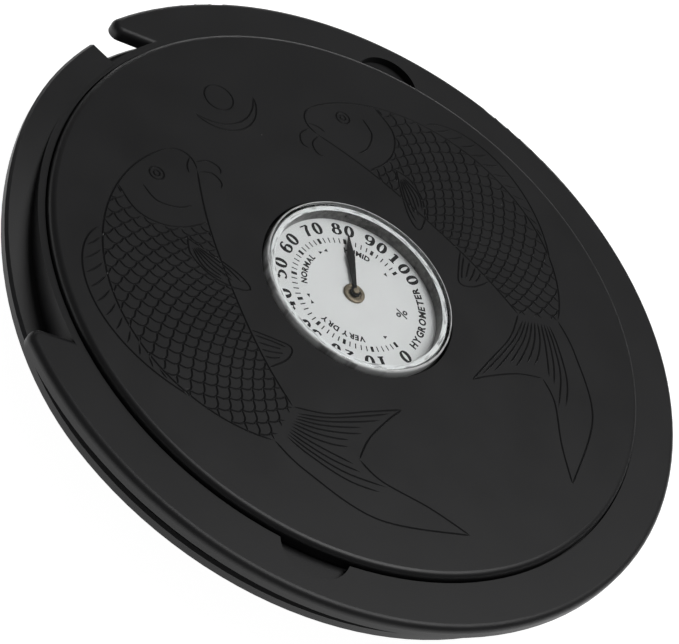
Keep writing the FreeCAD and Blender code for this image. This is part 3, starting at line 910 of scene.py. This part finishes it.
# %% Print ticks and arrows
THICK_TICK, THIN_TICK = 0.46 * MM, 0.17 * MM
TICK_INNER, TICK_OUTER = 9.05 * MM, 9.95 * MM
ARROW_RADIUS = 7.80 * MM
ARROW = [(-0.32, -0.26), (0.32, 0.0), (-0.32, 0.30)]
for value in range(0, 101, 2):
    mark(value, TICK_INNER, TICK_OUTER, THICK_TICK if value % 10 == 0 else THIN_TICK)
for value, way in ((1.6, -1), (38.2, 1), (41.0, -1), (67.4, 1), (70.0, -1), (99.0, 1)):
    outline = [placed((way * x, y), ARROW_RADIUS, scale_angle(value), 0.0, MM) for x, y in ARROW]
    plate(outline if way > 0 else outline[::-1])
print("the ink has", len(ink.faces), "faces after the scale")

# %% [markdown]
# ## Numerals from pen strokes
#
# Each digit is one or a few strokes through given points in a box one unit high. A ribbon of
# quads follows each stroke, and its width depends on the stroke's direction, as a flat nib's does.
# A nine is a six turned on its head.


# %% Draw the digits
def oval(middle, reach, steps=22):
    turns = [2.0 * math.pi * step / steps for step in range(steps + 1)]
    return [(middle[0] + reach[0] * math.cos(a), middle[1] + reach[1] * math.sin(a)) for a in turns]


SIX = [(0.50, 0.90), (0.32, 0.98), (0.14, 0.82), (0.06, 0.45), (0.12, 0.12), (0.30, 0.00),
       (0.50, 0.12), (0.54, 0.32), (0.45, 0.54), (0.28, 0.58), (0.10, 0.42)]
DIGITS = {
    "0": [oval((0.30, 0.50), (0.22, 0.49))],
    "1": [[(0.32, 0.00), (0.32, 1.00)], [(0.10, 0.84), (0.32, 0.98)], [(0.12, 0.03), (0.52, 0.03)]],
    "2": [spline([(0.06, 0.74), (0.16, 0.95), (0.34, 0.99), (0.50, 0.84), (0.46, 0.58),
                  (0.24, 0.28), (0.06, 0.04)], 16), [(0.06, 0.05), (0.55, 0.05)]],
    "3": [spline([(0.08, 0.84), (0.26, 0.99), (0.46, 0.84), (0.40, 0.60), (0.24, 0.54)], 12),
          spline([(0.24, 0.54), (0.48, 0.46), (0.52, 0.20), (0.32, 0.01), (0.06, 0.12)], 12)],
    "4": [[(0.42, 0.00), (0.42, 0.98)], [(0.42, 0.98), (0.02, 0.32)], [(0.02, 0.30), (0.58, 0.30)]],
    "5": [[(0.14, 0.96), (0.50, 0.96)], [(0.13, 0.96), (0.11, 0.54)],
          spline([(0.11, 0.54), (0.32, 0.62), (0.53, 0.42), (0.48, 0.14), (0.26, 0.00),
                  (0.05, 0.10)], 16)],
    "6": [spline(SIX, 26)],
    "7": [[(0.04, 0.96), (0.56, 0.96)], spline([(0.55, 0.95), (0.36, 0.56), (0.26, 0.00)], 10)],
    "8": [oval((0.30, 0.76), (0.18, 0.22)), oval((0.30, 0.28), (0.23, 0.27))],
    "9": [[(0.60 - x, 0.99 - y) for x, y in spline(SIX, 26)]],
}
NUMERAL_RADIUS, NUMERAL_SIZE = 11.70 * MM, 1.90 * MM
NIB_THIN, NIB_THICK = 0.055, 0.150
DIGIT_WIDENING = 1.30
DIGIT_ADVANCE = 2.12 * MM


# %% Set the numerals round the scale
def nib(line):
    """Left and right side of a pen stroke."""
    left, right = [], []
    for number, (x, y) in enumerate(line):
        before, after = line[max(number - 1, 0)], line[min(number + 1, len(line) - 1)]
        if math.dist(line[0], line[-1]) < 1e-6 and number in (0, len(line) - 1):
            before, after = line[-2], line[1]
        heading = math.atan2(after[1] - before[1], after[0] - before[0])
        half = NIB_THIN + (NIB_THICK - NIB_THIN) * abs(math.sin(heading)) ** 1.5
        left.append((x - half * math.sin(heading), y + half * math.cos(heading)))
        right.append((x + half * math.sin(heading), y - half * math.cos(heading)))
    return left, right


def numeral(text, radius, angle, size):
    """A number whose digits stand side by side round the scale, tops outward."""
    advance = DIGIT_ADVANCE / radius
    start = angle + advance * (len(text) - 1) / 2.0
    for place, digit in enumerate(text):
        spot = start - advance * place
        for stroke in DIGITS[digit]:
            left, right = nib([((x - 0.30) * DIGIT_WIDENING, y - 0.50) for x, y in stroke])
            for a, b, c, d in zip(right, right[1:], left[1:], left):
                plate([placed(point, radius, spot, 0.0, size) for point in (a, b, c, d)])


for value in range(0, 101, 10):
    numeral(str(value), NUMERAL_RADIUS, scale_angle(value), NUMERAL_SIZE)
print("the ink has", len(ink.faces), "faces after the numerals")

# %% [markdown]
# ## Words round the dial
#
# The small words use the plain built-in letters. Each letter is its own outline, placed on a circle
# and turned with it, because a word bent as a whole would distort its letters.


# %% Set the words
CAPITAL_MIDDLE = 0.36
LETTER_GAP, SPACE_WIDTH = 0.10, 0.22


def letter_shape(letter, weight):
    """Corners, faces and width of a letter one unit high."""
    curve = bpy.data.curves.new("letter", "FONT")
    curve.body = letter
    curve.resolution_u = 3
    curve.offset = weight
    holder = bpy.data.objects.new("letter", curve)
    bpy.context.scene.collection.objects.link(holder)
    graph = bpy.context.evaluated_depsgraph_get()
    mesh = bpy.data.meshes.new_from_object(holder.evaluated_get(graph))
    corners = [tuple(vertex.co[:2]) for vertex in mesh.vertices]
    faces = [tuple(face.vertices) for face in mesh.polygons]
    bpy.data.objects.remove(holder)
    bpy.data.meshes.remove(mesh)
    low = min(x for x, _ in corners)
    width = max(x for x, _ in corners) - low
    return [(x - low - width / 2.0, y - CAPITAL_MIDDLE) for x, y in corners], faces, width


def letters(text, radius, angle, size, inward=False, weight=0.040):
    """A word round the dial, with its tops outward, or towards the middle where inward is set."""
    shapes = [None if letter == " " else letter_shape(letter, weight) for letter in text]
    widths = [SPACE_WIDTH if shape is None else shape[2] for shape in shapes]
    total = sum(widths) + LETTER_GAP * (len(text) - 1)
    place = -total / 2.0
    for shape, width in zip(shapes, widths):
        middle = (place + width / 2.0) * size / radius
        place += width + LETTER_GAP
        if shape is None:
            continue
        spot = angle + middle if inward else angle - middle
        turn = math.pi if inward else 0.0
        corners = [placed(point, radius, spot, turn, size) for point in shape[0]]
        low = [ink.verts.new((x, y, INK_BOTTOM)) for x, y in corners]
        high = [ink.verts.new((x, y, INK_TOP)) for x, y in corners]
        rims = {}
        for face in shape[1]:
            ink.faces.new([high[corner] for corner in face])
            ink.faces.new([low[corner] for corner in face[::-1]])
            for a, b in zip(face, face[1:] + face[:1]):
                rims[(a, b)] = (b, a) not in rims
                if (b, a) in rims:
                    rims[(b, a)] = rims[(a, b)] = False
        for (a, b), alone in rims.items():
            if alone:
                ink.faces.new((low[a], low[b], high[b], high[a]))


ZONE_RADIUS, ZONE_LETTERS = 7.95 * MM, 1.28 * MM
for word, middle in (("VERY DRY", 21.4), ("NORMAL", 54.9), ("HUMID", 84.7)):
    letters(word, ZONE_RADIUS, scale_angle(middle), ZONE_LETTERS)
letters("HYGROMETER", 11.15 * MM, math.radians(-43.0), 1.58 * MM, inward=True)
letters("%", 7.75 * MM, math.radians(-44.5), 2.50 * MM, inward=True, weight=0.010)

print_mesh = bpy.data.meshes.new("dial_print")
ink.to_mesh(print_mesh)
ink.free()
dial_print = dress("dial_print", print_mesh, ink_black)
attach(dial_print, "lid")

# %% [markdown]
# ## The clear cap and its bright rim
#
# The cap is a shallow cup of clear acrylic that drops into the lid. Its window is flat, its wall
# stands on the instrument's flange, and its rim has a wide bevel. The rim is thick enough to catch
# light from all round, and so it looks like a bright ring with streaks in it. That light comes
# from many bends inside the plastic, and here it is painted into the rim's colour: a painted
# reflection of bright streaks on grey, with a little real transmission, on a finish of its own.


# %% Mix the rim's painted light
STREAKS_AROUND = 6.0
STREAKS_ACROSS = 2600.0


def bright_rim(name):
    finish = Finish(name)
    east, north, radius = finish.round_axis()
    turn = north.math("ARCTAN2", east)
    unrolled = {"X": turn * STREAKS_AROUND, "Y": radius * STREAKS_ACROSS}
    around = finish.node("ShaderNodeCombineXYZ", {}, unrolled)
    streaks = finish.noise(1.0, 3.0, around)
    # Painted reflection: the colour runs from grey to near white in streaks round the rim, standing
    # in for light bent about inside the plastic.
    dark, bright = (0.30, 0.30, 0.30), (0.86, 0.87, 0.87)
    finish.set(base_color=finish.blend(streaks.ramp(0.30, 0.52), dark, bright))
    finish.set(roughness=0.10 + streaks * 0.12)
    finish.set(transmission_weight=0.15, ior=1.49)
    return finish.material


painted_rim_light = bright_rim("painted_rim_light")
WINDOW_UNDER = LENS_TOP - 0.70 * MM
CAP_RADIUS = LENS_RADIUS - 0.24 * MM
CAP_INSIDE = LENS_RADIUS - 0.85 * MM
CAP_SECTION = [
    (0.0, WINDOW_UNDER, 0.0), (CAP_INSIDE, WINDOW_UNDER, 0.12 * MM),
    (CAP_INSIDE, LENS_BOTTOM, 0.06 * MM), (CAP_RADIUS, LENS_BOTTOM, 0.06 * MM),
    (CAP_RADIUS, LENS_TOP, 0.30 * MM), (0.0, LENS_TOP, 0.0),
]
lens = turned("clear_cap", CAP_SECTION, clear_cap, 160)
lens.data.materials.append(painted_rim_light)
# The cap's outer wall and bevel take the rim's painted reflection.
for face in lens.data.polygons:
    if face.center.xy.length > CAP_INSIDE - 0.02 * MM:
        face.material_index = 1
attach(lens, "lid")
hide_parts("lens_cap")

# %% [markdown]
# ## The hub
#
# The pointer turns over a brass boss, and a small pressed cap closes its spindle. The boss is wider
# than its tube, with a soft edge and a shallow ring cut round the bore. Old brass is brown
# rather than yellow, so both pieces get a duller mix than the bushes inside the case.

# %% Turn the hub
aged_brass = metal("aged_brass", (0.27, 0.225, 0.165), 0.38, True)
BUSH_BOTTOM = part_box("front_bush")[0].z
PIN_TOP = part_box("pointer_spindle")[1].z
POINTER_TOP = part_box("pointer")[1].z
BOSS_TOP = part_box("pointer")[0].z - 0.04 * MM
HUB_BORE, TUBE_RADIUS, HUB_RADIUS = 0.34 * MM, 0.95 * MM, 1.66 * MM
BOSS_SECTION = [
    (HUB_BORE, BUSH_BOTTOM, 0.0), (TUBE_RADIUS, BUSH_BOTTOM, 0.10 * MM),
    (TUBE_RADIUS, DIAL_TOP, 0.0), (HUB_RADIUS, DIAL_TOP, 0.0),
    (HUB_RADIUS, BOSS_TOP, 0.14 * MM), (1.05 * MM, BOSS_TOP, 0.05 * MM),
    (1.00 * MM, BOSS_TOP - 0.12 * MM, 0.0), (HUB_BORE, BOSS_TOP - 0.12 * MM, 0.0),
]
boss = turned("brass_boss", BOSS_SECTION, aged_brass, 64)
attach(boss, "lid")
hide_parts("front_bush")

PIN_INSIDE, PIN_RADIUS = 0.33 * MM, 0.50 * MM
PIN_SECTION = [
    (PIN_INSIDE, POINTER_TOP + 0.01 * MM, 0.0), (PIN_RADIUS, POINTER_TOP + 0.01 * MM, 0.03 * MM),
    (PIN_RADIUS, PIN_TOP + 0.14 * MM, 0.12 * MM), (0.0, PIN_TOP + 0.17 * MM, 0.0),
    (0.0, PIN_TOP + 0.02 * MM, 0.0), (PIN_INSIDE, PIN_TOP + 0.02 * MM, 0.0),
]
pin = turned("pin_cap", PIN_SECTION, aged_brass, 48)
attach(pin, "movement")

# %% [markdown]
# ## The spacer under the cap
#
# A thin ring holds the dial down and keeps the cap off the pointer. Its inner wall is what shows
# as a dark, cloudy band on the far side of the dial, while its narrow upper edge lies against
# the cap and lights up with it. That light is painted on: the upper faces get the rim's painted
# reflection. So its faces get two finishes.

# %% Turn the spacer
SPACER_INSIDE = DIAL_RADIUS - 0.60 * MM
SPACER_OUTSIDE = CAP_INSIDE - 0.05 * MM
SPACER_TOP = WINDOW_UNDER - 0.05 * MM
SPACER_EDGE = 0.08 * MM
SPACER_SECTION = [
    (SPACER_INSIDE, DIAL_TOP, 0.0), (DIAL_RADIUS, DIAL_TOP, 0.0), (DIAL_RADIUS, LENS_BOTTOM, 0.0),
    (SPACER_OUTSIDE, LENS_BOTTOM, 0.0), (SPACER_OUTSIDE, SPACER_TOP, SPACER_EDGE),
    (SPACER_INSIDE, SPACER_TOP, SPACER_EDGE),
]
spacer = turned("dial_spacer", SPACER_SECTION, spacer_grey, 160, steps=3)
spacer.data.materials.append(painted_rim_light)
# Painted reflection on the upward faces, the same as on the cap's rim.
for face in spacer.data.polygons:
    if face.normal.z > 0.6:
        face.material_index = 1
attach(spacer, "lid")
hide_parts("dial_spacer_ring")

# %% [markdown]
# ## The sponge
#
# A ring of open-cell sponge lies in the cup and gives off its moisture through the slots. It is
# soft and full of holes, so the plain ring is not good enough: the surface is pushed in and out by
# a coarse noise, and deep round pores are pressed into it. The finish also bumps in small pores
# and darkens their middles with painted shade.


# %% Make the sponge
def sponge_yellow(name):
    finish = Finish(name)
    cells = {"Vector": finish.place, "Scale": 1.0 / (1.1 * MM)}
    pores = finish.node("ShaderNodeTexVoronoi", {}, cells, "Distance")
    cloud = finish.noise(4.0 * MM, 4.0)
    deep = pores.ramp(0.10, 0.55)
    pale = finish.blend(cloud, (0.50, 0.38, 0.13), (0.70, 0.58, 0.26))
    # Painted shade: the colour darkens to brown in the middle of each pore, where shade would fall;
    # the same mask lowers the pores by the bump.
    finish.set(base_color=finish.blend(deep, (0.20, 0.14, 0.05), pale))
    finish.set(roughness=0.85 + deep * 0.1, specular_ior_level=0.2)
    finish.bump(deep, 0.25 * MM)
    return finish.material


def make_sponge():
    low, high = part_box("sponge_ring")
    inner = min(vertex.co.xy.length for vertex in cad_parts["sponge_ring"].data.vertices)
    soft = 1.4 * MM
    section = [(inner, low.z, soft), (high.x, low.z, soft),
               (high.x, high.z, soft), (inner, high.z, soft)]
    sponge = turned("sponge", section, sponge_yellow("sponge_yellow"), 220, steps=4)
    shape = bmesh.new()
    shape.from_mesh(sponge.data)
    long_edges = [edge for edge in shape.edges if edge.calc_length() > 2.0 * MM]
    bmesh.ops.subdivide_edges(shape, edges=long_edges, cuts=8, use_grid_fill=True)
    shape.normal_update()
    for vertex in shape.verts:
        spot = vertex.co / MM
        lumps = noise.noise(spot * 0.45) * 0.5 - 0.5
        hole = max(0.0, 0.42 - noise.voronoi(spot * 0.55)[0][0]) * 1.6
        vertex.co += vertex.normal * (lumps * 0.35 - hole) * MM
    shape.to_mesh(sponge.data)
    shape.free()
    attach(sponge, "cover")
    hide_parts("sponge_ring")


make_sponge()

# %% [markdown]
# ## The humidity coil
#
# Behind the dial a coiled strip of thin metal with a moisture-taking coat winds and unwinds, and
# turns the spindle. It is a spiral of seven turns: the strip is swept along it as a ribbon.


# %% Wind the coil
COIL_TURNS = 7
STEPS_PER_TURN = 40


def make_coil():
    low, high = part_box("humidity_coil")
    radii = [vertex.co.xy.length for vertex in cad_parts["humidity_coil"].data.vertices]
    half = 0.06 * MM
    inner, outer = min(radii) + half, max(radii) - half
    steps = COIL_TURNS * STEPS_PER_TURN
    shape = bmesh.new()
    sections = []
    for step in range(steps + 1):
        share = step / steps
        turn = 2.0 * math.pi * COIL_TURNS * (share - 1.0)
        radius = inner + (outer - inner) * share
        corners = [(radius - half, low.z), (radius + half, low.z),
                   (radius + half, high.z), (radius - half, high.z)]
        sections.append([
            shape.verts.new((r * math.cos(turn), r * math.sin(turn), z)) for r, z in corners])
    for first, second in zip(sections, sections[1:]):
        for side in range(4):
            ahead = (side + 1) % 4
            shape.faces.new((first[side], first[ahead], second[ahead], second[side]))
    shape.faces.new(sections[0][::-1])
    shape.faces.new(sections[-1])
    bmesh.ops.recalc_face_normals(shape, faces=shape.faces)
    mesh = bpy.data.meshes.new("coil_strip")
    shape.to_mesh(mesh)
    shape.free()
    coil = dress("coil_strip", mesh, strip)
    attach(coil, "adjuster")
    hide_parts("humidity_coil")


make_coil()

# %% [markdown]
# ## The pieces that stay as they are
#
# Most pieces of the model have the right shape already, and only need a finish. Each piece holds
# its materials in slots, so the new material simply goes into every slot.

# %% Give the model's own pieces their finishes
FINISHES = {
    "soundhole_ring": ring_black, "well_cup": cup_black, "lid": lid_black, "lid_seal": seal_black,
    "sponge_ring": cup_black, "hygrometer_case": case_black, "lens_cap": clear_cap,
    "dial_spacer_ring": spacer_grey, "clamp_ring": case_black, "dial_plate": dial_white,
    "friction_washer": seal_black, "calibration_disc": case_black,
    "coil_post": steel, "rear_bush": brass, "adjuster_clip": steel, "humidity_coil": strip,
    "pointer": pointer_black, "pointer_spindle": steel, "coil_collet": brass,
}
for node, material in FINISHES.items():
    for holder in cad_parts[node].material_slots:
        holder.material = material
print("finished", len(FINISHES), "nodes")

# %% [markdown]
# ## Floor and light
#
# The object lies on a plain white table. One wide lamp above, a long low lamp on the far side and
# a weak sky draw its soft edges. The low lamp stands where the flat cap does not mirror it into
# the camera. The underside of the floor is open, so that the object can be seen from below.


# %% Set the stage
def white_floor():
    finish = Finish("floor_white")
    finish.set(base_color=(0.40, 0.40, 0.40), roughness=0.9, specular_ior_level=0.1)
    finish.set(emission_color=(1.0, 1.0, 1.0), emission_strength=0.97)
    hidden = finish.node("ShaderNodeNewGeometry", {}, {}, "Backfacing")
    open_side = finish.node("ShaderNodeBsdfTransparent", {}, {})
    surface = Wire(finish, finish.shader.outputs[0])
    mixed = finish.node("ShaderNodeMixShader", {}, {0: hidden, 1: surface, 2: open_side})
    finish.feed(finish.output.inputs["Surface"], mixed)
    return finish.material


def make_floor():
    mesh = bpy.data.meshes.new("floor")
    half = 3.0
    level = cad_box[0].z - 0.02 * MM
    square = [(-half, -half), (half, -half), (half, half), (-half, half)]
    mesh.from_pydata([(x, y, level) for x, y in square], [], [(0, 1, 2, 3)])
    mesh.materials.append(white_floor())
    floor = bpy.data.objects.new("floor", mesh)
    bpy.context.scene.collection.objects.link(floor)


def lamp(name, place, size, power):
    """A soft rectangular lamp that looks at the object."""
    data = bpy.data.lights.new(name, "AREA")
    data.shape = "RECTANGLE"
    data.size, data.size_y = size
    data.energy = power
    light = bpy.data.objects.new(name, data)
    light.location = place
    light.rotation_mode = "QUATERNION"
    light.rotation_quaternion = (AIM - Vector(place)).to_track_quat("-Z", "Y")
    bpy.context.scene.collection.objects.link(light)


def make_sky(strength):
    world = bpy.data.worlds.new("sky")
    world.use_nodes = True
    sky = world.node_tree.nodes["Background"]
    sky.inputs["Color"].default_value = (1.0, 1.0, 1.0, 1.0)
    sky.inputs["Strength"].default_value = strength
    bpy.context.scene.world = world


make_floor()
make_sky(0.13)
lamp("top_lamp", (0.27, -0.14, 0.76), (0.45, 0.45), 3.7)
lamp("side_lamp", (0.62, 0.52, 0.10), (0.5, 0.08), 0.5)
bpy.context.scene.view_settings.view_transform = "Standard"
